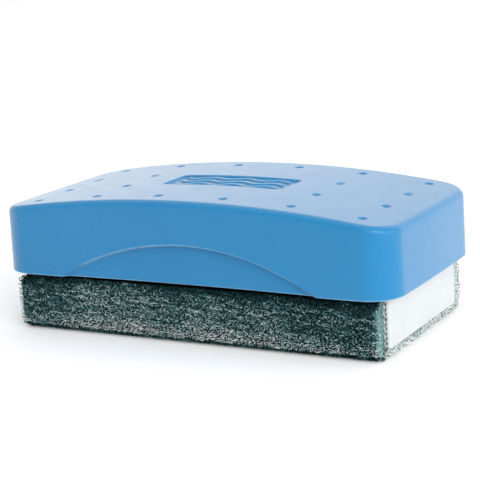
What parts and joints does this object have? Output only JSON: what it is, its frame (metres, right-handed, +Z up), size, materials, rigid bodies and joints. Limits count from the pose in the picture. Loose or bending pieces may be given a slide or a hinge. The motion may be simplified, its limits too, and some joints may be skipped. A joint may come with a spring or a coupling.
{
  "type": "magnetic glass cleaner",
  "caption": "Rectangular magnetic aquarium glass cleaner half: crowned plastic cover over a magnet tray, with a fleece pad that pulls off its underside.",
  "frame": {"origin": "centre of the pad's working face, which lies on the glass or the table, under the centre of the object", "axes": "+X along the length, +Y across the width, +Z up from the working face to the crowned top of the cover"},
  "size_m": [0.115, 0.0564, 0.0374],
  "materials": {
    "cover": "satin mid blue moulded plastic",
    "tray": "smooth white moulded plastic",
    "ferrite": "ground charcoal ferrite",
    "yoke": "zinc plated steel",
    "foam": "closed-cell foam",
    "gasket": "matt black rubber",
    "screw": "stainless steel",
    "hook_tape": "white nylon hook tape",
    "fleece": "grey-green pile fleece"
  },
  "bodies": {
    "main": {"cover_shell": "cover", "magnet_tray": "tray", "magnet_1": "ferrite", "magnet_2": "ferrite", "magnet_3": "ferrite", "magnet_4": "ferrite", "magnet_5": "ferrite", "magnet_6": "ferrite", "yoke_plate": "yoke", "foam_spacer_left": "foam", "foam_spacer_right": "foam", "gasket": "gasket", "cover_screw_1": "screw", "cover_screw_2": "screw", "cover_screw_3": "screw", "cover_screw_4": "screw", "hook_tape_bottom": "hook_tape", "hook_tape_front": "hook_tape", "hook_tape_rear": "hook_tape"},
    "pad": {"fleece_pad": "fleece"}
  },
  "joints": [
    {"name": "pad_pull", "type": "slide", "parent": "pad", "child": "main", "axis": [0, 0, 1], "range_m": [0, 0.03]}
  ]
}
